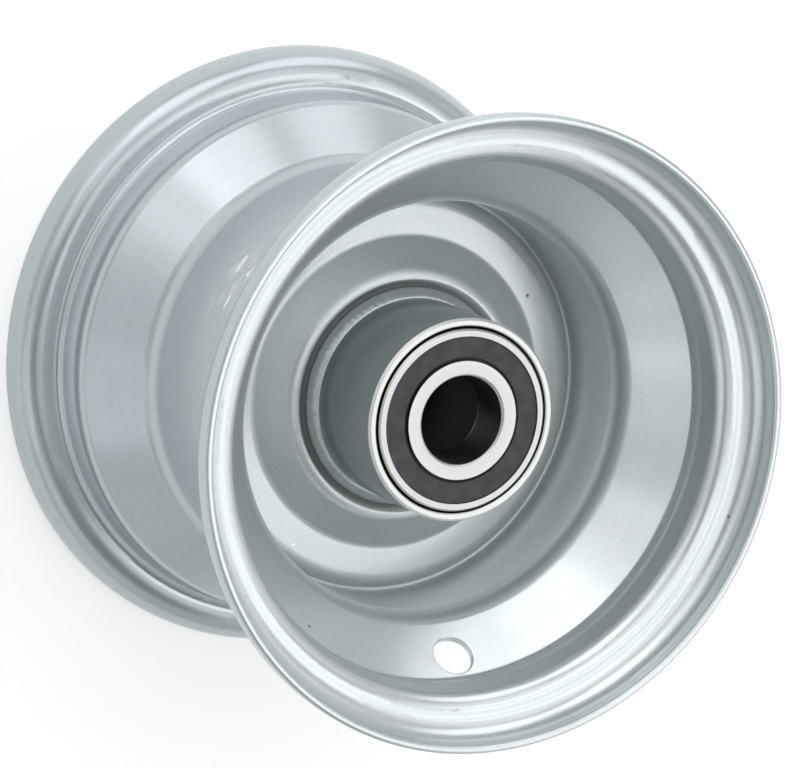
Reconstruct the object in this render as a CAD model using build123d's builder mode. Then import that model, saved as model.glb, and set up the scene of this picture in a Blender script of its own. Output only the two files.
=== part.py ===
"""Six inch implement wheel rim: a rolled steel barrel on a pressed disc, welded to a
hub tube that carries two sealed ball bearings for a 25 mm axle.

The wheel lies flat on its back flange. +Z is the wheel's axis and points to the
front, the side that the disc bulges towards. The origin is the wheel's centre, on
the axis, halfway between the two flanges. The valve hole is on the +X side.
Sizes are in millimetres, and every section is drawn in XZ, where X is the radius.
"""

import os
from math import cos, radians, sin, tan

from build123d import *

# Barrel: one rolled sheet, measured on its tyre side
rim_width = 114.3            # between the tyre faces of the flanges
seat_d = 156.6               # bead seat, where it meets the flange
seat_taper = 15.0            # degrees that the seat falls towards the hump
flange_height = 11.7         # from the bead seat's edge
flange_r = 8.6               # crest of the flange
heel_r = 2.8                 # between bead seat and flange
lip_length = 3.3             # straight end of the flange, past its crest
barrel_sheet = 2.3
hump_drop = 0.6              # corner of the safety hump, below the bead seat's edge
hump_r = 4.0
toe_run = 4.4                # along the axis, from the hump's corner to the seat
toe_r = 5.0
well_depth = 17.0            # below the bead seat's edge
well_width = 56.4            # flat floor, corner to corner
well_slope = 45.0            # degrees from the axis
well_r = 8.0
lip_round = 0.9

# Valve hole, through the front slope of the well
valve_hole_d = 11.7
valve_hole_round = 0.4       # both edges of the hole
valve_slope_share = 0.6      # how far up the slope the hole stands

# Disc: one pressing, measured on its front face
disc_sheet = 3.0
disc_bend_r = 5.0            # outer bends, at the neck and at the flange
disc_face_z = 3.8            # flat ring, in front of the wheel's middle
cone_foot_d = 91.0           # where the cone round the hub meets the flat ring
cone_angle = 36.5            # degrees that the cone rises towards the hub
cone_foot_r = 2.5
disc_neck_end_z = -2.0
disc_flange_end_z = -12.0
disc_fit = 0.05              # radial, disc to well and disc to hub tube

# Hub tube
tube_length = 90.0
tube_wall = 3.0              # round the bearing seats
tube_shoulder = 2.0          # behind each bearing
tube_edge = 0.7
seat_chamfer = 1.1

# Sealed ball bearing, 25 x 52 x 15
bearing_bore = 25.0
bearing_od = 52.0
bearing_width = 15.0
bearing_proud = 0.4          # the bearing stands out of the tube by this much
ring_round = 1.0             # bore corners of the inner ring
ring_edge = 0.5              # outer corners of the outer ring
ball_count = 9
race_share = 0.525           # race radius over ball diameter
ball_play = 0.03             # between a ball and each race

# Radii inside the bearing, as shares of its section from the bore to the outside
seal_groove_share = 0.3      # running groove of the seal's lip on the inner ring
inner_land_share = 0.33      # outside of the inner ring
seal_web_share = 0.404       # where the seal's flat part ends and its lip starts
cage_inside_share = 0.415
pitch_share = 0.52           # circle that the balls' centres stand on
cage_outside_share = 0.644
outer_land_share = 0.7075    # inside of the outer ring, beside its race
seal_edge_share = 0.848
ball_share = 0.588           # ball diameter over the section

# Seals, one on each face of a bearing
seal_seat_depth = 2.3        # recess in the outer ring, from its face
seal_set_back = 0.45         # from the ring's face to the seal's face
seal_sheet = 0.9
seal_lip_sheet = 0.8
seal_lip_drop = 0.9          # the lip stands this much deeper than the face
seal_bead_width = 1.3        # rim that stands on the step of the outer ring
seal_gap = 0.2               # lip to groove

# Ball cage: two pressed ribbons, riveted between the balls
cage_sheet = 0.8
cage_play = 0.08             # pocket to ball
rivet_d = 1.2
rivet_play = 0.02
rivet_head_d = 2.2
rivet_head = 0.4

# Welds
weld_crown = 0.6             # how far a bead bulges over a straight face
hub_weld_rise = 4.6          # up the tube, in front of the neck's crest
hub_weld_reach = 3.4         # out from the tube
back_weld_leg = 2.6
disc_weld_leg = 2.6
disc_weld_count = 6
disc_weld_arc = 34.0         # degrees of each run

# What follows from the sizes above
half_width = rim_width / 2
flange_crest_r = min(flange_r, 0.74 * flange_height)
flange_heel_r = min(heel_r, 0.25 * flange_height)
flange_radius = seat_d / 2 + flange_height
lip_z = half_width + flange_crest_r + lip_length
well_floor = seat_d / 2 - well_depth
well_half = well_width / 2
hump_corner = seat_d / 2 - hump_drop
hump_z = well_half + (hump_corner - well_floor) / tan(radians(well_slope))
toe_z = hump_z + toe_run
toe_radius = seat_d / 2 - (half_width - toe_z) * tan(radians(seat_taper))
well_inside = well_floor - barrel_sheet
tube_radius = bearing_od / 2 + tube_wall
neck_radius = tube_radius + disc_fit
disc_radius = well_inside - disc_fit
cone_foot = cone_foot_d / 2
neck_corner_z = disc_face_z + (cone_foot - neck_radius) * tan(radians(cone_angle))
neck_crest_z = neck_corner_z - disc_bend_r * (tan(radians(45 + cone_angle / 2)) - 1)
bearing_z = tube_length / 2 + bearing_proud - bearing_width / 2
half_bearing = bearing_width / 2
ring_section = (bearing_od - bearing_bore) / 2
groove_floor, inner_land, seal_web, cage_inside, pitch_radius, cage_outside, outer_land, seal_edge = (
    bearing_bore / 2 + share * ring_section
    for share in (
        seal_groove_share, inner_land_share, seal_web_share, cage_inside_share,
        pitch_share, cage_outside_share, outer_land_share, seal_edge_share,
    )
)
ball_radius = ball_share * ring_section / 2
race_radius = race_share * 2 * ball_radius
inner_race_centre = pitch_radius - ball_radius - ball_play + race_radius
outer_race_centre = pitch_radius + ball_radius + ball_play - race_radius
pocket_inside = ball_radius + cage_play
pocket_outside = pocket_inside + cage_sheet

os.makedirs("parts", exist_ok=True)


def finish(piece, label):
    """Name a finished piece and write it to its own file."""
    piece.part.label = label
    export_step(piece.part, f"parts/{label}.step")


# Barrel
tyre_side = [
    (well_floor, well_half),
    (hump_corner, hump_z),
    (toe_radius, toe_z),
    (seat_d / 2, half_width),
    (flange_radius, half_width),
    (flange_radius, lip_z),
]
tyre_side_rounds = [well_r, hump_r, toe_r, flange_heel_r, flange_crest_r]

slope_run = (hump_corner - well_floor) / sin(radians(well_slope))
slope_side = (cos(radians(well_slope)), -sin(radians(well_slope)))
valve_r = well_floor + valve_slope_share * slope_run * sin(radians(well_slope))
valve_z = well_half + valve_slope_share * slope_run * cos(radians(well_slope))
valve_plane = Plane(
    origin=(valve_r, 0, valve_z),
    x_dir=(0, 1, 0),
    z_dir=(slope_side[0], 0, slope_side[1]),
)

# Drawn opposite the valve hole, so that the seam of the turned faces stays clear of it
far_side = Plane((0, 0, 0), x_dir=(-1, 0, 0), z_dir=(0, 1, 0))

with BuildPart() as rim_barrel:
    with BuildSketch(far_side):
        with BuildLine():
            FilletPolyline(
                *[(r, -z) for r, z in reversed(tyre_side)],
                *tyre_side,
                radius=[*reversed(tyre_side_rounds), *tyre_side_rounds],
            )
            offset(amount=barrel_sheet, side=Side.LEFT)
        make_face()
    revolve(axis=Axis.Z)
    lips = rim_barrel.edges().filter_by(GeomType.CIRCLE).group_by(Axis.Z)
    fillet(lips[0] + lips[-1], radius=lip_round)
    with BuildSketch(valve_plane):
        Circle(valve_hole_d / 2)
    extrude(amount=2 * barrel_sheet, both=True, mode=Mode.SUBTRACT)
    hole_wall = rim_barrel.faces(Select.LAST).filter_by(GeomType.CYLINDER).sort_by(SortBy.AREA)[0]
    fillet(hole_wall.edges().filter_by(GeomType.BSPLINE), radius=valve_hole_round)
finish(rim_barrel, "rim_barrel")

# Disc
disc_front = [
    (neck_radius, disc_neck_end_z),
    (neck_radius, neck_corner_z),
    (cone_foot, disc_face_z),
    (disc_radius, disc_face_z),
    (disc_radius, disc_flange_end_z),
]

with BuildPart() as wheel_disc:
    with BuildSketch(Plane.XZ) as disc_section:
        with BuildLine():
            FilletPolyline(*disc_front, radius=[disc_bend_r, cone_foot_r, disc_bend_r])
            offset(amount=disc_sheet, side=Side.RIGHT)
        make_face()
    revolve(axis=Axis.Z)
finish(wheel_disc, "wheel_disc")

# Hub tube, bored for a bearing at each end
seat_depth = bearing_width - bearing_proud

with BuildPart() as hub_tube:
    Cylinder(tube_radius, tube_length)
    chamfer(hub_tube.edges().filter_by(GeomType.CIRCLE), length=tube_edge)
    Cylinder(bearing_od / 2 - tube_shoulder, tube_length, mode=Mode.SUBTRACT)
    for end in (1, -1):
        seat_middle = end * (tube_length - seat_depth) / 2
        with Locations((0, 0, seat_middle)):
            Cylinder(bearing_od / 2, seat_depth, mode=Mode.SUBTRACT)
        mouth = (
            hub_tube.edges()
            .filter_by(GeomType.CIRCLE)
            .filter_by(lambda edge: abs(edge.radius - bearing_od / 2) < 0.01)
            .sort_by(Axis.Z)[-1 if end > 0 else 0]
        )
        chamfer(mouth, length=seat_chamfer)
finish(hub_tube, "hub_tube")

# Welds: a full bead on each side of the disc's neck, and six runs behind the disc
weld_top = (neck_radius, neck_crest_z + hub_weld_rise)
weld_toe = (neck_radius + hub_weld_reach, neck_crest_z)

with BuildPart() as hub_weld_front:
    with BuildSketch(Plane.XZ):
        with BuildLine():
            SagittaArc(weld_top, weld_toe, weld_crown)
            Polyline(weld_toe, (neck_radius, neck_crest_z - disc_bend_r), weld_top)
        make_face()
        add(disc_section.sketch_local, mode=Mode.SUBTRACT)
    revolve(axis=Axis.Z)
finish(hub_weld_front, "hub_weld_front")

with BuildPart() as hub_weld_back:
    with BuildSketch(Plane.XZ):
        with BuildLine():
            foot = (neck_radius, disc_neck_end_z - back_weld_leg)
            toe = (neck_radius + back_weld_leg, disc_neck_end_z)
            SagittaArc(foot, toe, -weld_crown)
            Polyline(toe, (neck_radius, disc_neck_end_z), foot)
        make_face()
    revolve(axis=Axis.Z)
finish(hub_weld_back, "hub_weld_back")

with BuildPart() as disc_weld:
    for run in range(disc_weld_count):
        turn = radians(run * 360 / disc_weld_count)
        out = (cos(turn), sin(turn), 0)
        with BuildSketch(Plane((0, 0, 0), x_dir=out, z_dir=(sin(turn), -cos(turn), 0))):
            with BuildLine():
                foot = (disc_radius, disc_flange_end_z - disc_weld_leg)
                toe = (disc_radius - disc_weld_leg, disc_flange_end_z)
                SagittaArc(foot, toe, weld_crown)
                Polyline(toe, (disc_radius, disc_flange_end_z), foot)
            make_face()
        revolve(axis=Axis.Z, revolution_arc=disc_weld_arc)
finish(disc_weld, "disc_weld")

# Bearings, the front one and its mirror image at the back
outer_ring_half = [
    (outer_land, 0),
    (outer_land, half_bearing - seal_seat_depth),
    (seal_edge, half_bearing - seal_seat_depth),
    (seal_edge, half_bearing),
    (bearing_od / 2 - ring_edge, half_bearing),
    (bearing_od / 2, half_bearing - ring_edge),
    (bearing_od / 2, 0),
]
seal_face = half_bearing - seal_set_back
lip_face = seal_face - seal_lip_drop
lip_back = lip_face - seal_lip_sheet
groove_side = inner_land - groove_floor
inner_ring_half = [
    (inner_land, 0),
    (inner_land, lip_back - 2 * groove_side),
    (groove_floor, lip_back - groove_side),
    (groove_floor, lip_face + groove_side),
    (inner_land, lip_face + 2 * groove_side),
    (inner_land, half_bearing),
    (bearing_bore / 2 + ring_round, half_bearing),
]
seal_bead = seal_edge - seal_bead_width
seal_outline = [
    (seal_edge, half_bearing - seal_seat_depth),
    (seal_edge, seal_face),
    (seal_web, seal_face),
    (seal_web - groove_side, lip_face),
    (groove_floor + seal_gap, lip_face),
    (groove_floor + seal_gap, lip_back),
    (seal_web, lip_back),
    (seal_web + seal_sheet, seal_face - seal_sheet),
    (seal_bead, seal_face - seal_sheet),
    (seal_bead, half_bearing - seal_seat_depth),
]

for end, side in ((1, "front"), (-1, "back")):
    middle = Plane.XY.offset(end * bearing_z)
    section = Plane((0, 0, end * bearing_z), x_dir=(1, 0, 0), z_dir=(0, -1, 0))
    first_ball = 0 if end > 0 else 180 / ball_count

    with BuildPart() as outer_ring:
        with BuildSketch(section):
            with BuildLine():
                Polyline(outer_ring_half)
                mirror(about=Plane.XZ)
            make_face()
            with Locations((outer_race_centre, 0)):
                Circle(race_radius, mode=Mode.SUBTRACT)
        revolve(axis=Axis.Z)
    finish(outer_ring, f"{side}_outer_ring")

    with BuildPart() as inner_ring:
        with BuildSketch(section):
            with BuildLine():
                Polyline(inner_ring_half)
                corner = (bearing_bore / 2, half_bearing - ring_round)
                RadiusArc(inner_ring_half[-1], corner, -ring_round)
                Line(corner, (bearing_bore / 2, 0))
                mirror(about=Plane.XZ)
            make_face()
            with Locations((inner_race_centre, 0)):
                Circle(race_radius, mode=Mode.SUBTRACT)
        revolve(axis=Axis.Z)
    finish(inner_ring, f"{side}_inner_ring")

    with BuildPart(middle) as balls:
        with PolarLocations(pitch_radius, ball_count, start_angle=first_ball):
            Sphere(ball_radius)
    finish(balls, f"{side}_balls")

    for way, face in ((end, "outer"), (-end, "inner")):
        with BuildPart() as seal:
            with BuildSketch(section):
                with BuildLine():
                    Polyline([(r, way * z) for r, z in seal_outline], close=True)
                make_face()
            revolve(axis=Axis.Z)
        finish(seal, f"{side}_{face}_seal")

        with BuildPart(middle) as cage_half:
            with PolarLocations(pitch_radius, ball_count, start_angle=first_ball):
                Sphere(pocket_outside)
            with BuildSketch(middle) as ribbon:
                Circle(cage_outside)
                Circle(cage_inside, mode=Mode.SUBTRACT)
            extrude(amount=way * 2 * pocket_outside, mode=Mode.INTERSECT)
            extrude(ribbon.sketch, amount=way * cage_sheet)
            with PolarLocations(pitch_radius, ball_count, start_angle=first_ball):
                Sphere(pocket_inside, mode=Mode.SUBTRACT)
            with PolarLocations(pitch_radius, ball_count, start_angle=first_ball + 180 / ball_count):
                Cylinder(rivet_d / 2 + rivet_play, 4 * cage_sheet, mode=Mode.SUBTRACT)
        finish(cage_half, f"{side}_{face}_cage")

    with BuildPart(middle) as cage_rivets:
        with PolarLocations(pitch_radius, ball_count, start_angle=first_ball + 180 / ball_count):
            Cylinder(rivet_d / 2, 2 * cage_sheet)
            with Locations((0, 0, cage_sheet), (0, 0, -cage_sheet - rivet_head)):
                head_align = (Align.CENTER, Align.CENTER, Align.MIN)
                Cylinder(rivet_head_d / 2, rivet_head, align=head_align)
    finish(cage_rivets, f"{side}_cage_rivets")
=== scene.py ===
"""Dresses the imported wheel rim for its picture: silver paint over the rolled barrel, the
pressed disc and the hub tube, laid weld beads, and two sealed ball bearings in bare steel
and black rubber, on a pale studio floor.

Everything is in metres in the wheel's own frame: +Z is the axle's axis and points out of
the front bearing, +X points at the valve hole, and the wheel lies on its back flange.
"""

import logging
import math
from abc import ABC, abstractmethod
from dataclasses import dataclass, field, replace
from enum import Enum
from typing import Any

import bmesh
import bpy
from mathutils import Matrix, Vector, noise


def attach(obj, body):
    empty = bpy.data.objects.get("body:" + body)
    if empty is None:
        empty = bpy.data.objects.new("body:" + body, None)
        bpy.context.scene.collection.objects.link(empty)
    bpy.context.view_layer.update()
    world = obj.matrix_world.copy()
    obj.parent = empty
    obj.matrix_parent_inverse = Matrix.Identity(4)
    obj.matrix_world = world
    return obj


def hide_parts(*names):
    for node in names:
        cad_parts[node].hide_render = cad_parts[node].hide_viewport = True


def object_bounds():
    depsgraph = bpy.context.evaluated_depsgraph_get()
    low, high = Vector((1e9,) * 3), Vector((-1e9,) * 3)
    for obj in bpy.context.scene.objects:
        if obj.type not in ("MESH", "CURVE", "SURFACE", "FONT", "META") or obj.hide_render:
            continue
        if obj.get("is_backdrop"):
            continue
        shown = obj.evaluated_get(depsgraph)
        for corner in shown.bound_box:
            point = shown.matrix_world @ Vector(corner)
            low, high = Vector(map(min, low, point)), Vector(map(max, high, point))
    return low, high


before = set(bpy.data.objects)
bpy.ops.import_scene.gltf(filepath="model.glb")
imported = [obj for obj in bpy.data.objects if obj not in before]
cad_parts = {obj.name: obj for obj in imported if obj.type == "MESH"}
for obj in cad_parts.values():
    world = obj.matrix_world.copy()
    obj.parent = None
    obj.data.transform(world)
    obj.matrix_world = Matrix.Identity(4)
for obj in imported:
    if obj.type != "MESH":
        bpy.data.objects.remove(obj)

LOG = logging.getLogger("wheel_rim")
MM = 0.001
FULL_TURN = 2 * math.pi

# Nearly all of a noise texture lies between these two values
NOISE_LOW, NOISE_HIGH = 0.3, 0.7


class Side(Enum):
    """The two ends of the wheel, by the word that starts the names of their nodes."""

    FRONT = "front"
    BACK = "back"


def linear(hex_colour: str) -> tuple[float, float, float, float]:
    """Turns an sRGB hex colour into the linear colour that shaders take.

    Args:
        hex_colour: Six hex digits, with or without a leading hash.

    Returns:
        Linear red, green, blue and an alpha of one.
    """
    digits = hex_colour.lstrip("#")
    channels = [int(digits[i:i + 2], 16) / 255 for i in (0, 2, 4)]
    levels = [c / 12.92 if c <= 0.04045 else ((c + 0.055) / 1.055) ** 2.4 for c in channels]
    return (levels[0], levels[1], levels[2], 1.0)


def per_metre(size_mm: float) -> float:
    """The texture scale at which one cell of a pattern is this many millimetres wide."""
    return 1 / (size_mm * MM)


def add_node(tree: bpy.types.NodeTree, kind: str, settings: dict[str, Any] | None = None,
             inputs: dict[Any, Any] | None = None) -> bpy.types.Node:
    """Adds a shader node with its settings and links.

    Args:
        tree: The material's or world's node tree.
        kind: The node's type name without its ShaderNode prefix.
        settings: Properties of the node itself.
        inputs: For each input's name or number, a value, or the output to link to it.

    Returns:
        The new node.
    """
    made = tree.nodes.new("ShaderNode" + kind)
    for key, value in (settings or {}).items():
        setattr(made, key, value)
    for key, value in (inputs or {}).items():
        if isinstance(value, bpy.types.NodeSocket):
            tree.links.new(value, made.inputs[key])
        else:
            made.inputs[key].default_value = value
    return made


def blank_material(name: str) -> bpy.types.Material:
    """Makes a material with an empty node tree.

    Args:
        name: The material's name.

    Returns:
        The new material.
    """
    made = bpy.data.materials.new(name)
    made.use_nodes = True
    made.node_tree.nodes.clear()
    return made


def close_material(made: bpy.types.Material, shader: bpy.types.NodeSocket) -> bpy.types.Material:
    """Links a shader to the material's output."""
    add_node(made.node_tree, "OutputMaterial", inputs={"Surface": shader})
    return made


@dataclass(frozen=True)
class WheelCoordinates:
    """Places on the wheel as a shader reads them: radius, turn and height, in metres."""

    point: bpy.types.NodeSocket
    facing: bpy.types.NodeSocket
    radius: bpy.types.NodeSocket
    turn: bpy.types.NodeSocket
    height: bpy.types.NodeSocket

    @classmethod
    def read(cls, tree: bpy.types.NodeTree) -> "WheelCoordinates":
        """Adds the nodes that work out the coordinates round the axle.

        Args:
            tree: The material's node tree.

        Returns:
            The coordinates as outputs to link from.
        """
        given = add_node(tree, "TexCoord")
        place = given.outputs["Object"]
        parts = add_node(tree, "SeparateXYZ", inputs={0: place})
        east, north = parts.outputs["X"], parts.outputs["Y"]
        across = add_node(tree, "CombineXYZ", inputs={"X": east, "Y": north})
        radius = add_node(tree, "VectorMath", {"operation": "LENGTH"}, {0: across.outputs[0]})
        turn = add_node(tree, "Math", {"operation": "ARCTAN2"}, {0: north, 1: east})
        return cls(place, given.outputs["Normal"], radius.outputs["Value"], turn.outputs[0],
                   parts.outputs["Z"])


def nearness(tree: bpy.types.NodeTree, value: bpy.types.NodeSocket, middle: float,
             half: float) -> bpy.types.NodeSocket:
    """Adds a share that is one near the middle of a stretch and falls to nothing at its ends.

    Args:
        tree: The material's node tree.
        value: The coordinate that the stretch lies on.
        middle: Where the stretch has its middle.
        half: Half of its length.

    Returns:
        The share, from 0 to 1.
    """
    away = add_node(tree, "Math", {"operation": "SUBTRACT"}, {0: value, 1: middle})
    away = add_node(tree, "Math", {"operation": "ABSOLUTE"}, {0: away.outputs[0]})
    fall = add_node(tree, "MapRange", inputs={
        "Value": away.outputs[0], "From Min": 0.6 * half, "From Max": half,
        "To Min": 1.0, "To Max": 0.0})
    return fall.outputs[0]


class Mark(ABC):
    """Something laid over the paint's colour, mostly in one place: a mark with a colour of its own,
    or painted shade or highlight.
    """

    colour: str
    cover: float

    @abstractmethod
    def share(self, tree: bpy.types.NodeTree, at: WheelCoordinates) -> bpy.types.NodeSocket:
        """Where the mark lies, from 0 to 1."""

    def over(self, tree: bpy.types.NodeTree, at: WheelCoordinates,
             body: bpy.types.NodeSocket) -> bpy.types.NodeSocket:
        """Lays the mark over a colour.

        Args:
            tree: The paint's node tree.
            at: The coordinates on the wheel.
            body: The colour beneath.

        Returns:
            The colour with the mark on it.
        """
        hidden = add_node(tree, "Math", {"operation": "MULTIPLY"}, {
            0: self.share(tree, at), 1: self.cover})
        mixed = add_node(tree, "Mix", {"data_type": "RGBA"}, {
            "Factor": hidden.outputs[0], "A": body, "B": linear(self.colour)})
        return mixed.outputs["Result"]

    def raised(self, tree: bpy.types.NodeTree, at: WheelCoordinates,
               normal: bpy.types.NodeSocket) -> bpy.types.NodeSocket:
        """Leaves the relief as it is, because most marks are flat."""
        return normal


@dataclass(frozen=True)
class PaintedOuterShade(Mark):
    """A darker, cooler tone of the paint on faces that look away from the axle.

    It is painted shade: it stands in for the dimmer, cooler light on the tyre's side, and is
    matched to the brightness that the photograph shows there.
    """

    # the painted shade's darker, cooler colour
    colour: str = "#BEC7CA"
    cover: float = 1.0
    starts_facing: float = -0.05    # cosine between the face and the spoke through it
    full_facing: float = 0.35

    def share(self, tree: bpy.types.NodeTree, at: WheelCoordinates) -> bpy.types.NodeSocket:
        """Finds the faces that look away from the axle.

        Args:
            tree: The paint's node tree.
            at: The coordinates on the wheel.

        Returns:
            The share, from 0 to 1.
        """
        spoke = add_node(tree, "VectorMath", {"operation": "MULTIPLY"}, {
            0: at.point, 1: (1.0, 1.0, 0.0)})
        spoke = add_node(tree, "VectorMath", {"operation": "NORMALIZE"}, {0: spoke.outputs[0]})
        facing = add_node(tree, "VectorMath", {"operation": "DOT_PRODUCT"}, {
            0: at.facing, 1: spoke.outputs[0]})
        return add_node(tree, "MapRange", {"interpolation_type": "SMOOTHSTEP"}, {
            "Value": facing.outputs["Value"], "From Min": self.starts_facing,
            "From Max": self.full_facing}).outputs[0]


@dataclass(frozen=True)
class Speck(Mark):
    """A spot a millimetre or so across, where grit lies in the paint or steel shows through."""

    at_mm: tuple[float, float, float]
    size_mm: float
    colour: str
    cover: float = 0.9

    def share(self, tree: bpy.types.NodeTree, at: WheelCoordinates) -> bpy.types.NodeSocket:
        """Finds the spot, with a soft edge.

        Args:
            tree: The paint's node tree.
            at: The coordinates on the wheel.

        Returns:
            The share, from 0 to 1.
        """
        apart = add_node(tree, "VectorMath", {"operation": "DISTANCE"}, {
            0: at.point, 1: tuple(c * MM for c in self.at_mm)})
        return add_node(tree, "MapRange", inputs={
            "Value": apart.outputs["Value"], "From Min": 0.3 * self.size_mm * MM,
            "From Max": 0.7 * self.size_mm * MM, "To Min": 1.0, "To Max": 0.0}).outputs[0]


@dataclass(frozen=True)
class PaintedShadeRing(Mark):
    """A dark ring beside a weld, as the photograph shows one.

    It is painted shade in the crevice between the bead's toe and the disc's neck. Soot
    and thin paint are guesses at its cause.
    """

    inner_mm: float
    outer_mm: float
    soft_mm: float = 0.5
    # the painted shade's colour
    colour: str = "#4E5455"
    cover: float = 0.8

    def share(self, tree: bpy.types.NodeTree, at: WheelCoordinates) -> bpy.types.NodeSocket:
        """Finds the ring, with soft edges.

        Args:
            tree: The paint's node tree.
            at: The coordinates on the wheel.

        Returns:
            The share, from 0 to 1.
        """
        inside = add_node(tree, "MapRange", {"interpolation_type": "SMOOTHSTEP"}, {
            "Value": at.radius, "From Min": (self.inner_mm - self.soft_mm) * MM,
            "From Max": self.inner_mm * MM})
        outside = add_node(tree, "MapRange", {"interpolation_type": "SMOOTHSTEP"}, {
            "Value": at.radius, "From Min": (self.outer_mm - self.soft_mm) * MM,
            "From Max": self.outer_mm * MM, "To Min": 1.0, "To Max": 0.0})
        return add_node(tree, "Math", {"operation": "MINIMUM"}, {
            0: inside.outputs[0], 1: outside.outputs[0]}).outputs[0]


@dataclass(frozen=True)
class Stroke(Mark):
    """One long thin scratch round the wheel, where the grinder cut to clean steel; its white is
    partly painted highlight, for the steel's glint.
    """

    turn_deg: float
    height_mm: float
    half_deg: float
    half_mm: float
    cover: float = 1.0
    radius_mm: float = 61.3     # the well's floor
    skin_mm: float = 1.2        # it shows this near the floor, and not on the sheet's inside
    burr_mm: float = 0.25
    # white: clean steel, brightened into a painted highlight for its glint
    colour: str = "#FFFFFF"

    def share(self, tree: bpy.types.NodeTree, at: WheelCoordinates) -> bpy.types.NodeSocket:
        """Finds the scratch, which fades at its ends.

        Args:
            tree: The paint's node tree.
            at: The coordinates on the wheel.

        Returns:
            The share, from 0 to 1.
        """
        round_it = nearness(tree, at.turn, math.radians(self.turn_deg), math.radians(self.half_deg))
        along_it = nearness(tree, at.height, self.height_mm * MM, self.half_mm * MM)
        skin = nearness(tree, at.radius, self.radius_mm * MM, self.skin_mm * MM)
        patch = add_node(tree, "Math", {"operation": "MULTIPLY"}, {0: round_it, 1: along_it})
        return add_node(tree, "Math", {"operation": "MULTIPLY"}, {
            0: patch.outputs[0], 1: skin}).outputs[0]

    def raised(self, tree: bpy.types.NodeTree, at: WheelCoordinates,
               normal: bpy.types.NodeSocket) -> bpy.types.NodeSocket:
        """Turns up the scratch's burr, so that one side of it takes the light."""
        return add_node(tree, "Bump", inputs={
            "Height": self.share(tree, at), "Strength": 0.8, "Distance": self.burr_mm * MM,
            "Normal": normal}).outputs[0]


@dataclass(frozen=True)
class DressedSeam(Mark):
    """The patch of the well's floor where the barrel's butt seam was ground flush.

    The grinder ran round the wheel, so it left fine scratches that way. Their white is partly
    painted highlight, for the glint of the ground steel.
    """

    patch: Stroke = Stroke(-127.0, 1.0, 13.0, 8.5)
    stroke_mm: tuple[float, float] = (8.0, 0.9)      # length and width of a fine scratch
    lines_from: float = 0.5     # the noise turns to scratch from here
    lines_full: float = 0.68
    deep_mm: float = 0.08
    # white: ground steel, brightened into a painted highlight for its glint
    colour: str = "#FFFFFF"
    cover: float = 0.6

    def share(self, tree: bpy.types.NodeTree, at: WheelCoordinates) -> bpy.types.NodeSocket:
        """Draws the fine scratches, with nothing outside the patch.

        Args:
            tree: The paint's node tree.
            at: The coordinates on the wheel.

        Returns:
            The share, from 0 to 1.
        """
        long_way = add_node(tree, "Math", {"operation": "MULTIPLY"}, {
            0: at.turn, 1: self.patch.radius_mm / self.stroke_mm[0]})
        short_way = add_node(tree, "Math", {"operation": "MULTIPLY"}, {
            0: at.height, 1: per_metre(self.stroke_mm[1])})
        strokes = add_node(tree, "CombineXYZ", inputs={
            "X": long_way.outputs[0], "Y": short_way.outputs[0]})
        lines = add_node(tree, "TexNoise", inputs={
            "Vector": strokes.outputs[0], "Scale": 1.0, "Detail": 1.0})
        depth = add_node(tree, "MapRange", inputs={
            "Value": lines.outputs[0], "From Min": self.lines_from, "From Max": self.lines_full})
        return add_node(tree, "Math", {"operation": "MULTIPLY"}, {
            0: depth.outputs[0], 1: self.patch.share(tree, at)}).outputs[0]

    def raised(self, tree: bpy.types.NodeTree, at: WheelCoordinates,
               normal: bpy.types.NodeSocket) -> bpy.types.NodeSocket:
        """Gives the scratches a little relief."""
        return add_node(tree, "Bump", inputs={
            "Height": self.share(tree, at), "Strength": 0.5, "Distance": self.deep_mm * MM,
            "Normal": normal}).outputs[0]


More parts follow.
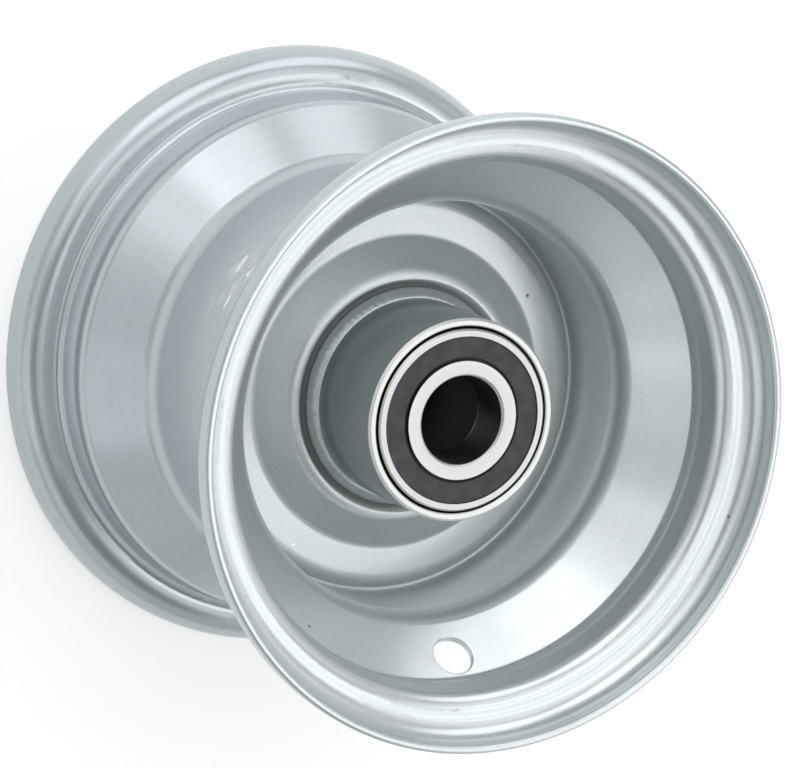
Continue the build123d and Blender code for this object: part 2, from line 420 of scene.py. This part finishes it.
@dataclass(frozen=True)
class SilverPaint:
    """Aluminium-pigmented enamel, sprayed on mild steel and stoved.

    The flakes lie in a clear binder, so it is half mirror and half chalk: broad soft
    highlights, a cool grey body, and a fine grain where the flakes stand at odds.
    """

    name: str = "silver_enamel_on_steel"
    colour: str = "#D6DBDD"
    shade: str = "#CFD5D7"
    metallic: float = 0.6
    roughness: float = 0.24
    rough_swing: float = 0.02
    grain_mm: float = 0.7       # flakes are finer than this, drawn as coarse as they show
    grain_tone: float = 0.05
    grain_high_mm: float = 0.004
    peel_mm: float = 5.0        # orange peel of the sprayed film
    peel_high_mm: float = 0.05
    cloud_mm: float = 22.0      # where the film is thicker or thinner
    rolled_mm: float = 1.4      # marks of the rolls and the press, round the axle
    rolled_tone: float = 0.02
    # painted shade on the faces that look away from the axle
    outside: PaintedOuterShade | None = None
    marks: tuple[Mark, ...] = ()

    def body(self, tree: bpy.types.NodeTree, at: WheelCoordinates,
             grain: bpy.types.NodeSocket) -> bpy.types.NodeSocket:
        """Builds the paint's colour: cloudy, grained, faintly ringed, with its marks on it.

        Args:
            tree: The paint's node tree.
            at: The coordinates on the wheel.
            grain: The pattern of the flakes.

        Returns:
            The colour.
        """
        cloud = add_node(tree, "TexNoise", inputs={
            "Vector": at.point, "Scale": per_metre(self.cloud_mm), "Detail": 3.0, "Roughness": 0.55})
        rings = add_node(tree, "CombineXYZ", inputs={"X": at.radius, "Z": at.height})
        rolled = add_node(tree, "TexNoise", inputs={
            "Vector": rings.outputs[0], "Scale": per_metre(self.rolled_mm), "Detail": 2.0})
        tone = add_node(tree, "Mix", {"data_type": "RGBA"}, {
            "Factor": cloud.outputs[0], "A": linear(self.shade),
            "B": linear(self.colour)}).outputs["Result"]
        # painted shade: a darker, cooler tone on the faces that look away from the axle
        if self.outside:
            tone = self.outside.over(tree, at, tone)
        fleck = add_node(tree, "MapRange", inputs={
            "Value": grain, "From Min": NOISE_LOW, "From Max": NOISE_HIGH,
            "To Min": 1 - self.grain_tone, "To Max": 1 + self.grain_tone})
        ringed = add_node(tree, "MapRange", inputs={
            "Value": rolled.outputs[0], "From Min": NOISE_LOW, "From Max": NOISE_HIGH,
            "To Min": 1 - self.rolled_tone, "To Max": 1 + self.rolled_tone})
        both = add_node(tree, "Math", {"operation": "MULTIPLY"}, {
            0: fleck.outputs[0], 1: ringed.outputs[0]})
        body = add_node(tree, "VectorMath", {"operation": "SCALE"}, {
            0: tone, "Scale": both.outputs[0]}).outputs[0]
        # the marks, among them painted shade and painted highlights
        for mark in self.marks:
            body = mark.over(tree, at, body)
        return body

    def relief(self, tree: bpy.types.NodeTree, at: WheelCoordinates,
               grain: bpy.types.NodeSocket) -> bpy.types.NodeSocket:
        """Builds the film's relief: orange peel with the grain and the marks on it.

        Args:
            tree: The paint's node tree.
            at: The coordinates on the wheel.
            grain: The pattern of the flakes.

        Returns:
            The relief as a normal.
        """
        peel = add_node(tree, "TexNoise", inputs={
            "Vector": at.point, "Scale": per_metre(self.peel_mm), "Detail": 1.0})
        coarse = add_node(tree, "Bump", inputs={
            "Height": peel.outputs[0], "Strength": 0.25, "Distance": self.peel_high_mm * MM})
        fine = add_node(tree, "Bump", inputs={
            "Height": grain, "Strength": 0.15, "Distance": self.grain_high_mm * MM,
            "Normal": coarse.outputs[0]})
        normal = fine.outputs[0]
        for mark in self.marks:
            normal = mark.raised(tree, at, normal)
        return normal

    def grain(self, tree: bpy.types.NodeTree, at: WheelCoordinates) -> bpy.types.NodeSocket:
        """Adds the pattern of the flakes."""
        return add_node(tree, "TexNoise", inputs={
            "Vector": at.point, "Scale": per_metre(self.grain_mm), "Detail": 2.0,
            "Roughness": 0.6}).outputs[0]

    def material(self) -> bpy.types.Material:
        """Builds the paint.

        Returns:
            The material.
        """
        made = blank_material(self.name)
        tree = made.node_tree
        at = WheelCoordinates.read(tree)
        grain = self.grain(tree, at)
        rough = add_node(tree, "MapRange", inputs={
            "Value": grain, "From Min": NOISE_LOW, "From Max": NOISE_HIGH,
            "To Min": self.roughness - self.rough_swing, "To Max": self.roughness + self.rough_swing})
        shader = add_node(tree, "BsdfPrincipled", inputs={
            "Base Color": self.body(tree, at, grain), "Metallic": self.metallic,
            "Roughness": rough.outputs[0], "Normal": self.relief(tree, at, grain)})
        return close_material(made, shader.outputs[0])


@dataclass(frozen=True)
class FacedTube:
    """Mild steel tube: silver enamel outside, ends faced bright in a lathe, bore left dark.

    The bore is drawn with the mill's black scale, which swallows light, and with painted shade
    deep inside it; the small groove that the inner chamfer leaves round each bearing gets the
    same black as painted shade. The enamel is darker than on the other pieces, because the
    photograph shows it so: painted shade, for the light that the deep dish keeps off the tube.
    """

    name: str = "faced_steel_tube"
    # darker enamel: painted shade on the tube's side, deep in the dish
    paint: SilverPaint = SilverPaint(colour="#A2A9AA", shade="#9AA1A2", rolled_mm=2.0)
    face: str = "#DADBDB"
    # near black: the bore's mill scale, and painted shade in the bore and in the groove by each
    # bearing
    scale: str = "#141413"
    bare_metallic: float = 0.9
    bare_roughness: float = 0.42
    bore_mm: float = 26.75      # all inside this radius is bore or groove
    bore_soft_mm: float = 0.05
    end_mm: float = 44.25       # all beyond this height is faced
    end_soft_mm: float = 0.1

    def material(self) -> bpy.types.Material:
        """Builds the tube's finish.

        Returns:
            The material.
        """
        made = blank_material(self.name)
        tree = made.node_tree
        at = WheelCoordinates.read(tree)
        grain = self.paint.grain(tree, at)
        height = add_node(tree, "Math", {"operation": "ABSOLUTE"}, {0: at.height})
        faced = add_node(tree, "MapRange", inputs={
            "Value": height.outputs[0], "From Min": (self.end_mm - self.end_soft_mm) * MM,
            "From Max": (self.end_mm + self.end_soft_mm) * MM})
        bored = add_node(tree, "MapRange", inputs={
            "Value": at.radius, "From Min": (self.bore_mm - self.bore_soft_mm) * MM,
            "From Max": (self.bore_mm + self.bore_soft_mm) * MM, "To Min": 1.0, "To Max": 0.0})
        bright = add_node(tree, "Mix", {"data_type": "RGBA"}, {
            "Factor": faced.outputs[0], "A": self.paint.body(tree, at, grain),
            "B": linear(self.face)})
        # painted shade: the bore and the groove by each bearing get the near black
        body = add_node(tree, "Mix", {"data_type": "RGBA"}, {
            "Factor": bored.outputs[0], "A": bright.outputs["Result"], "B": linear(self.scale)})
        either = add_node(tree, "Math", {"operation": "MAXIMUM"}, {
            0: faced.outputs[0], 1: bored.outputs[0]})
        bare = add_node(tree, "MapRange", inputs={
            "Value": either.outputs[0], "To Min": self.paint.metallic, "To Max": self.bare_metallic})
        rough = add_node(tree, "MapRange", inputs={
            "Value": either.outputs[0], "To Min": self.paint.roughness,
            "To Max": self.bare_roughness})
        shader = add_node(tree, "BsdfPrincipled", inputs={
            "Base Color": body.outputs["Result"], "Metallic": bare.outputs[0],
            "Roughness": rough.outputs[0], "Normal": self.paint.relief(tree, at, grain)})
        return close_material(made, shader.outputs[0])


@dataclass(frozen=True)
class TurnedSteel:
    """Hardened chromium bearing steel with ground faces, or mild steel strip.

    A bare metal with fine rings round the axle: bright where it faces the light.
    """

    name: str
    colour: str
    roughness: float
    rough_swing: float = 0.05
    ring_mm: float = 0.25       # marks of the wheel or the tool, coarser than real ones
    ring_high_mm: float = 0.005

    def material(self) -> bpy.types.Material:
        """Builds the steel.

        Returns:
            The material.
        """
        made = blank_material(self.name)
        tree = made.node_tree
        at = WheelCoordinates.read(tree)
        rings = add_node(tree, "CombineXYZ", inputs={"X": at.radius, "Z": at.height})
        marks = add_node(tree, "TexNoise", inputs={
            "Vector": rings.outputs[0], "Scale": per_metre(self.ring_mm), "Detail": 2.0})
        rough = add_node(tree, "MapRange", inputs={
            "Value": marks.outputs[0], "From Min": NOISE_LOW, "From Max": NOISE_HIGH,
            "To Min": self.roughness - self.rough_swing, "To Max": self.roughness + self.rough_swing})
        relief = add_node(tree, "Bump", inputs={
            "Height": marks.outputs[0], "Strength": 0.2, "Distance": self.ring_high_mm * MM})
        shader = add_node(tree, "BsdfPrincipled", inputs={
            "Base Color": linear(self.colour), "Metallic": 1.0,
            "Roughness": rough.outputs[0], "Normal": relief.outputs[0]})
        return close_material(made, shader.outputs[0])


@dataclass(frozen=True)
class NitrileRubber:
    """Black nitrile rubber, moulded round a steel washer: matt, dark grey, a little dusty."""

    name: str = "moulded_nitrile_rubber"
    colour: str = "#37383A"
    dust: str = "#4A4B4C"
    roughness: float = 0.62
    ior: float = 1.5
    pore_mm: float = 0.6        # coarser than real pores, so that they show
    pore_high_mm: float = 0.02
    smear_mm: float = 5.0
    smear_from: float = 0.4     # the noise turns to dust from here
    smear_full: float = 0.75
    # near black: painted shade in the narrow gaps between the seal and the rings
    edge: str = "#101011"
    flat_mm: tuple[float, float] = (17.7, 23.5)     # the dusty flat, between the painted shade at its edges
    edge_mm: tuple[float, float] = (17.2, 23.85)    # where the painted shade of the gaps is full

    def material(self) -> bpy.types.Material:
        """Builds the rubber.

        Returns:
            The material.
        """
        made = blank_material(self.name)
        tree = made.node_tree
        at = WheelCoordinates.read(tree)
        pores = add_node(tree, "TexNoise", inputs={
            "Vector": at.point, "Scale": per_metre(self.pore_mm), "Detail": 3.0})
        smear = add_node(tree, "TexNoise", inputs={
            "Vector": at.point, "Scale": per_metre(self.smear_mm), "Detail": 3.0})
        tone = add_node(tree, "MapRange", inputs={
            "Value": smear.outputs[0], "From Min": self.smear_from, "From Max": self.smear_full})
        body = add_node(tree, "Mix", {"data_type": "RGBA"}, {
            "Factor": tone.outputs[0], "A": linear(self.colour), "B": linear(self.dust)})
        # painted shade in the narrow gaps at the seal's two edges
        for start, end in zip(self.flat_mm, self.edge_mm):
            edge = add_node(tree, "MapRange", inputs={
                "Value": at.radius, "From Min": start * MM, "From Max": end * MM})
            body = add_node(tree, "Mix", {"data_type": "RGBA"}, {
                "Factor": edge.outputs[0], "A": body.outputs["Result"], "B": linear(self.edge)})
        relief = add_node(tree, "Bump", inputs={
            "Height": pores.outputs[0], "Strength": 0.3, "Distance": self.pore_high_mm * MM})
        shader = add_node(tree, "BsdfPrincipled", inputs={
            "Base Color": body.outputs["Result"], "Roughness": self.roughness, "IOR": self.ior,
            "Normal": relief.outputs[0]})
        return close_material(made, shader.outputs[0])


@dataclass(frozen=True)
class StudioFloor:
    """Matt white paper, under the wheel and behind it.

    The camera, gloss and glass see it brighter than its own bounce, up to plain white.
    """

    name: str = "matt_white_paper"
    colour: str = "#E6E6E6"
    lift: float = 0.45
    fibre_mm: float = 1.5
    fibre_high_mm: float = 0.05

    def material(self) -> bpy.types.Material:
        """Builds the paper.

        Returns:
            The material.
        """
        made = blank_material(self.name)
        tree = made.node_tree
        place = add_node(tree, "TexCoord").outputs["Object"]
        fibre = add_node(tree, "TexNoise", inputs={
            "Vector": place, "Scale": per_metre(self.fibre_mm), "Detail": 2.0})
        relief = add_node(tree, "Bump", inputs={
            "Height": fibre.outputs[0], "Strength": 0.1, "Distance": self.fibre_high_mm * MM})
        paper = add_node(tree, "BsdfDiffuse", inputs={
            "Color": linear(self.colour), "Normal": relief.outputs[0]})
        path = add_node(tree, "LightPath")
        seen = add_node(tree, "Math", {"operation": "MAXIMUM"}, {
            0: path.outputs["Is Camera Ray"], 1: path.outputs["Is Glossy Ray"]})
        seen = add_node(tree, "Math", {"operation": "MAXIMUM"}, {
            0: seen.outputs[0], 1: path.outputs["Is Transmission Ray"]})
        strength = add_node(tree, "Math", {"operation": "MULTIPLY"}, {
            0: seen.outputs[0], 1: self.lift})
        glow = add_node(tree, "Emission", inputs={"Strength": strength.outputs[0]})
        both = add_node(tree, "AddShader", inputs={0: paper.outputs[0], 1: glow.outputs[0]})
        return close_material(made, both.outputs[0])


def dress(node: str, finish: bpy.types.Material) -> None:
    """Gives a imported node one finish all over.

    Args:
        node: The node's name in the frame.
        finish: The material that it gets.
    """
    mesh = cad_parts[node].data
    mesh.materials.clear()
    mesh.materials.append(finish)
    LOG.info("%s: %s, %d faces", node, finish.name, len(mesh.polygons))


def round_axle(radius: float, height: float, turn: float) -> Vector:
    """The point at a radius and a height, turned round the axle by an angle in radians."""
    return Vector((radius * math.cos(turn), radius * math.sin(turn), height))


def skin(shell: bmesh.types.BMesh, sections: list[list[bmesh.types.BMVert]], whole: bool) -> None:
    """Joins each of a row of closed sections to the next.

    Args:
        shell: The mesh that the sections stand in.
        sections: The corners of each section, in order.
        whole: Whether the last section joins the first. If not, both ends are closed.
    """
    around = len(sections[0])
    following = sections[1:] + (sections[:1] if whole else [])
    for low, high in zip(sections, following):
        for k in range(around):
            beside = (k + 1) % around
            shell.faces.new((low[k], high[k], high[beside], low[beside]))
    if not whole:
        shell.faces.new(list(reversed(sections[0])))
        shell.faces.new(sections[-1])


def smooth_object(name: str, shell: bmesh.types.BMesh,
                  finish: bpy.types.Material) -> bpy.types.Object:
    """Turns a mesh in the making into a smooth object of the scene.

    Args:
        name: The name of the object and its mesh.
        shell: The mesh in the making, which is freed.
        finish: The material that it gets.

    Returns:
        The new object.
    """
    for face in shell.faces:
        face.smooth = True
    mesh = bpy.data.meshes.new(name)
    shell.to_mesh(mesh)
    shell.free()
    mesh.materials.append(finish)
    made = bpy.data.objects.new(name, mesh)
    bpy.context.scene.collection.objects.link(made)
    LOG.info("%s: %s, %d faces", name, finish.name, len(mesh.polygons))
    return made


@dataclass
class Barrel:
    """The rolled barrel with its two flanges and the valve hole."""

    paint: SilverPaint = SilverPaint(
        name="silver_enamel_on_rolled_steel",
        # painted shade on the tyre's side of the barrel
        outside=PaintedOuterShade(),
        marks=(
            # the ground seam and its scratches, whose white is partly painted highlight
            DressedSeam(),
            Stroke(-132.0, -1.3, 3.2, 0.7),
            Stroke(-121.0, 3.4, 2.4, 0.6),
            Stroke(-126.5, 4.0, 4.5, 0.4, cover=0.5),
            Stroke(-129.9, 5.6, 1.0, 0.8),
            Speck((54.5, -46.2, 41.6), 0.9, "#4A4A46"),     # dark, on the dish's wall
            Speck((33.6, 77.8, 60.4), 0.8, "#8C6A60"),      # rusty, on the front flange
        ),
    )

    def build(self) -> None:
        """Paints the barrel."""
        dress("rim_barrel", self.paint.material())


@dataclass(frozen=True)
class WeldBead:
    """A fillet bead laid in a corner, with the ripples that the puddle froze in.

    Its section runs from the foot, on the tube or the well, over a low crown to the toe.
    """

    foot_mm: tuple[float, float]        # radius and height where it starts
    toe_mm: tuple[float, float]         # radius and height where it ends
    crown_mm: float = 0.45
    ripple_mm: float = 2.4              # from one ripple to the next
    depth_mm: float = 0.22
    bow: float = 0.45                   # how far a ripple's ends trail, in ripples
    unrest: float = 0.6                 # how far ripples stray from an even pace, in ripples
    swell: float = 0.35                 # how much the crown rises and falls along the bead
    sunk_mm: float = 0.5                # how far its hidden back lies in the steel
    tuck_mm: float = 0.03               # how far its edges lie in the steel
    run_deg: float = 360.0
    start_deg: float = 0.0
    across: int = 12
    step_deg: float = 0.6

    def height(self, share: float, turn: float) -> float:
        """How far the bead stands over its section's chord.

        Args:
            share: The place across it, from 0 at the foot to 1 at the toe.
            turn: The angle round the axle, in radians.

        Returns:
            The height in millimetres.
        """
        middle = 0.5 * (self.foot_mm[0] + self.toe_mm[0])
        travel = turn * middle / self.ripple_mm
        # The noise is read along two lines of its own, one slow and one quick
        wander = noise.noise(Vector((travel * 0.35, 3.1, 0.7)))
        strength = 0.7 + 0.6 * noise.noise(Vector((travel * 0.8, share * 1.5, 5.3)))
        trail = self.bow * (2 * share - 1) ** 2
        ripple = abs(math.sin(math.pi * (travel + trail + self.unrest * wander)))
        fall = math.sin(math.pi * share) ** 0.6
        crown = self.crown_mm * (1 + self.swell * wander)
        return fall * (crown + self.depth_mm * strength * (ripple - 0.6))

    def section(self, turn: float) -> list[Vector]:
        """The section's corners at one angle: over the crown, then back inside the steel.

        Args:
            turn: The angle round the axle, in radians.

        Returns:
            The corners, in metres.
        """
        (r0, z0), (r1, z1) = self.foot_mm, self.toe_mm
        chord = math.hypot(r1 - r0, z1 - z0)
        # Out of the corner, square to the chord
        out_r = math.copysign(abs(z1 - z0), r1 - r0) / chord
        out_z = math.copysign(abs(r1 - r0), z0 - z1) / chord
        corners = []
        for step in range(self.across + 1):
            share = step / self.across
            rise = self.height(share, turn) if 0 < step < self.across else -self.tuck_mm
            corners.append((r0 + (r1 - r0) * share + out_r * rise,
                            z0 + (z1 - z0) * share + out_z * rise))
        corners.append((r1 - out_r * self.sunk_mm, z1 - out_z * self.sunk_mm))
        corners.append((r0 - out_r * self.sunk_mm, z0 - out_z * self.sunk_mm))
        return [round_axle(r, z, turn) * MM for r, z in corners]

    def add_to(self, shell: bmesh.types.BMesh) -> None:
        """Adds the bead's skin, closed at its ends where it doesn't go all round.

        Args:
            shell: The mesh in the making.
        """
        whole = self.run_deg >= 360
        steps = round(self.run_deg / self.step_deg)
        stops = range(steps if whole else steps + 1)
        turns = [math.radians(self.start_deg + self.run_deg * k / steps) for k in stops]
        skin(shell, [[shell.verts.new(p) for p in self.section(turn)] for turn in turns], whole)


@dataclass(frozen=True)
class PaintFillet:
    """Paint that has run into the sharp corner between the disc's bend and the well."""

    name: str = "paint_in_disc_corner"
    # Radius and height: the hollow skin in front, then the corners hidden in the steel
    section_mm: tuple[tuple[float, float], ...] = (
        (58.05, 1.55), (58.3, 1.22), (58.55, 1.08), (58.8, 1.2), (59.02, 1.6),
        (59.02, 0.4), (58.85, 0.2))
    around: int = 720

    def build(self, finish: bpy.types.Material) -> None:
        """Turns the section round the axle.

        Args:
            finish: The disc's paint.
        """
        shell = bmesh.new()
        turns = [FULL_TURN * step / self.around for step in range(self.around)]
        sections = [[shell.verts.new(round_axle(r, z, turn) * MM) for r, z in self.section_mm]
                    for turn in turns]
        skin(shell, sections, whole=True)
        bmesh.ops.recalc_face_normals(shell, faces=shell.faces)
        made = smooth_object(self.name, shell, finish)
        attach(made, "wheel")


@dataclass
class Welds:
    """The beads round the hub tube and the six runs behind the disc."""

    front: WeldBead = WeldBead((28.98, 13.7), (31.65, 10.45), crown_mm=0.4)
    back: WeldBead = WeldBead((28.98, -4.6), (31.65, -1.98))
    run: WeldBead = WeldBead((58.98, -14.6), (56.35, -11.98), run_deg=34.0)
    run_count: int = 6
    paint: SilverPaint = SilverPaint(name="silver_enamel_on_weld", colour="#DDE1E2", shade="#C6CBCC",
                                     peel_mm=2.5, cloud_mm=4.0, grain_tone=0.04)

    def piece(self, name: str, node: str, beads: list[WeldBead], finish: bpy.types.Material) -> None:
        """Makes one piece of some beads and puts it in a node's place.

        Args:
            name: The new piece's name.
            node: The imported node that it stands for.
            beads: The beads that it is made of.
            finish: Its material.
        """
        shell = bmesh.new()
        for bead in beads:
            bead.add_to(shell)
        bmesh.ops.recalc_face_normals(shell, faces=shell.faces)
        made = smooth_object(name, shell, finish)
        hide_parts(node)
        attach(made, "wheel")

    def build(self) -> None:
        """Lays every bead."""
        finish = self.paint.material()
        self.piece("rippled_front_bead", "hub_weld_front", [self.front], finish)
        self.piece("rippled_back_bead", "hub_weld_back", [self.back], finish)
        apart = 360 / self.run_count
        runs = [replace(self.run, start_deg=k * apart) for k in range(self.run_count)]
        self.piece("rippled_well_runs", "disc_weld", runs, finish)


@dataclass
class Hub:
    """The pressed disc and the hub tube, with the welds that join them."""

    paint: SilverPaint = SilverPaint(
        name="silver_enamel_on_pressing",
        colour="#D6DBDC",
        shade="#CCD2D3",
        metallic=0.5,
        roughness=0.3,
        marks=(
            # painted shade in the crevice beside the front bead
            PaintedShadeRing(30.9, 34.2),
            Speck((-23.7, 43.3, 3.8), 1.0, "#3A3B39"),      # dark, on the flat ring
            Speck((41.4, -32.6, 3.8), 0.8, "#FFFFFF"),      # bright, on the flat ring
        ),
    )
    tube: FacedTube = FacedTube()
    corner: PaintFillet = PaintFillet()
    welds: Welds = field(default_factory=Welds)

    def build(self) -> None:
        """Paints the disc and the tube, and lays the beads."""
        enamel = self.paint.material()
        dress("wheel_disc", enamel)
        self.corner.build(enamel)
        dress("hub_tube", self.tube.material())
        self.welds.build()


@dataclass
class Bearing:
    """One sealed ball bearing."""

    side: Side
    ring: TurnedSteel = TurnedSteel("ground_bearing_steel", "#BFBFBE", 0.32)
    ball: TurnedSteel = TurnedSteel("polished_bearing_steel", "#D8D8D8", 0.1)
    strip: TurnedSteel = TurnedSteel("pressed_steel_strip", "#A8A8A6", 0.38)
    rubber: NitrileRubber = NitrileRubber()

    def build(self) -> None:
        """Dresses the rings, balls, cage and seals."""
        for finish, pieces in (
                (self.ring, ("outer_ring", "inner_ring")),
                (self.ball, ("balls",)),
                (self.strip, ("outer_cage", "inner_cage", "cage_rivets")),
                (self.rubber, ("outer_seal", "inner_seal"))):
            material = finish.material()
            for piece in pieces:
                dress(f"{self.side.value}_{piece}", material)


@dataclass
class PhotoCamera:
    """A camera that stands where the photograph's stood, beside a wheel that lies down.

    Its lens and place were fitted to the outlines of both flanges in the photograph.
    """

    lens_mm: float = 225.55
    sensor_mm: float = 36.0
    clip: tuple[float, float] = (0.05, 30.0)
    location: Vector = field(default_factory=lambda: Vector((-0.3164, -0.6270, 1.2294)))
    right: Vector = field(default_factory=lambda: Vector((0.0036, 0.8900, 0.4560)))
    up: Vector = field(default_factory=lambda: Vector((-0.9749, 0.1046, -0.1965)))

    @property
    def back(self) -> Vector:
        """The direction from the wheel to the camera."""
        return self.right.cross(self.up).normalized()

    def place(self, right: float, up: float, back: float) -> Vector:
        """Turns a distance right, up and back in the picture into a point in the frame."""
        return self.right * right + self.up * up + self.back * back

    def build(self) -> None:
        """Adds the camera and makes it the scene's."""
        lens = bpy.data.cameras.new("photo_camera")
        lens.sensor_width, lens.lens = self.sensor_mm, self.lens_mm
        lens.clip_start, lens.clip_end = self.clip
        made = bpy.data.objects.new("photo_camera", lens)
        turn = Matrix((self.right, self.up, self.back)).transposed().to_4x4()
        made.matrix_world = Matrix.Translation(self.location) @ turn
        bpy.context.scene.collection.objects.link(made)
        bpy.context.scene.camera = made
        LOG.info("camera: %.0f mm lens at %s", self.lens_mm, tuple(self.location))


@dataclass(frozen=True)
class Softbox:
    """A round lamp with a cloth front, hung on a dome round the wheel.

    Its place is given as the photographer sees it: how far off the line of sight it hangs,
    and which way, counted from the right and anticlockwise.
    """

    name: str
    off_deg: float
    turn_deg: float
    glow: float                 # light per area and angle, where plain white paper's is one
    tint: str = "#FFFFFF"
    half_deg: float = 17.0      # half of the angle that it fills, seen from the wheel
    distance: float = 2.8

    def build(self, camera: PhotoCamera) -> None:
        """Hangs the lamp and turns its face to the wheel.

        Args:
            camera: The camera whose line of sight the lamp's place is counted from.
        """
        off, turn = math.radians(self.off_deg), math.radians(self.turn_deg)
        face = camera.place(math.sin(off) * math.cos(turn), math.sin(off) * math.sin(turn),
                            math.cos(off))
        face.normalize()
        radius = self.distance * math.tan(math.radians(self.half_deg))
        area = math.pi * radius ** 2
        light = bpy.data.lights.new(self.name, "AREA")
        light.shape, light.size = "DISK", 2 * radius
        light.color = linear(self.tint)[:3]
        light.energy = self.glow * math.pi * area
        made = bpy.data.objects.new(self.name, light)
        made.matrix_world = (Matrix.Translation(face * self.distance)
                             @ face.to_track_quat("Z", "Y").to_matrix().to_4x4())
        bpy.context.scene.collection.objects.link(made)
        LOG.info("lamp %s: glow %.2f, %.2f m across", self.name, self.glow, 2 * radius)


@dataclass
class Studio:
    """The floor, the air and the lamps.

    The lamps' places and strengths were worked out from where the photograph's highlights
    lie on the wheel. The faint blue tint of some is matched to the photograph as well.
    """

    camera: PhotoCamera
    floor_z: float              # where the wheel's back flange rests
    floor_half: float = 6.0
    sweep_r: float = 2.0
    sweep_rise: float = 6.0
    sweep_steps: int = 16
    around: int = 96
    air: str = "#EEF2F5"
    air_strength: float = 0.2
    lamps: tuple[Softbox, ...] = (
        Softbox("near_right", 26, 0, 1.0),
        Softbox("near_top_right", 26, 60, 0.57),
        Softbox("near_top_left", 26, 120, 0.71),
        Softbox("near_left", 26, 180, 0.34, "#F0F5F8"),
        Softbox("near_low_right", 26, -55, 0.62),
        Softbox("right", 50, 16, 1.0),
        Softbox("top_right", 50, 49, 0.34),
        Softbox("top", 50, 82, 1.47),
        Softbox("top_left", 50, 115, 0.57),
        Softbox("low_right", 50, -16, 1.09),
        Softbox("low_left", 50, -115, 0.33, "#F0F5F8"),
        Softbox("left", 50, -147, 0.47, "#F0F5F8"),
        Softbox("far_low_right", 64, -30, 0.76),
        Softbox("far_top_right", 74, 54, 1.28),
        Softbox("far_low", 72, -103, 0.19, "#F0F5F8"),
        Softbox("side_right", 84, 5, 0.28),
        Softbox("side_low_right", 84, -23, 0.76),
        Softbox("side_low", 84, -45, 0.66),
    )

    def sweep(self) -> bpy.types.Object:
        """Makes the paper: a flat round floor that curves up into a wall all round.

        Returns:
            The paper.
        """
        profile = [(self.floor_half, 0.0)]
        for step in range(1, self.sweep_steps + 1):
            a = math.pi / 2 * step / self.sweep_steps
            profile.append((self.floor_half + self.sweep_r * math.sin(a),
                            self.sweep_r * (1 - math.cos(a))))
        profile.append((self.floor_half + self.sweep_r, self.sweep_rise))
        shell = bmesh.new()
        centre = shell.verts.new((0, 0, self.floor_z))
        turns = [FULL_TURN * k / self.around for k in range(self.around)]
        rings = [[shell.verts.new(round_axle(r, self.floor_z + z, turn)) for turn in turns]
                 for r, z in profile]
        for k in range(self.around):
            beside = (k + 1) % self.around
            shell.faces.new((centre, rings[0][k], rings[0][beside]))
            for low, high in zip(rings, rings[1:]):
                shell.faces.new((low[k], high[k], high[beside], low[beside]))
        return smooth_object("paper_sweep", shell, StudioFloor().material())

    def build(self) -> None:
        """Lays the paper, lights the air and hangs the lamps."""
        floor = self.sweep()
        floor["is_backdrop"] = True
        world = bpy.data.worlds.new("studio_air")
        world.use_nodes = True
        world.node_tree.nodes.clear()
        air = add_node(world.node_tree, "Background", inputs={
            "Color": linear(self.air), "Strength": self.air_strength})
        add_node(world.node_tree, "OutputWorld", inputs={"Surface": air.outputs[0]})
        bpy.context.scene.world = world
        for lamp in self.lamps:
            lamp.build(self.camera)
        bpy.context.scene.view_settings.view_transform = "Standard"


def main() -> None:
    """Builds the picture: camera, studio, then the wheel from the outside in."""
    logging.basicConfig(level=logging.INFO, format="%(name)s: %(message)s")
    cad_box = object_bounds()
    camera = PhotoCamera()
    camera.build()
    Studio(camera, floor_z=cad_box[0][2]).build()
    Barrel().build()
    Hub().build()
    for side in Side:
        Bearing(side).build()


if __name__ == "__main__":
    main()
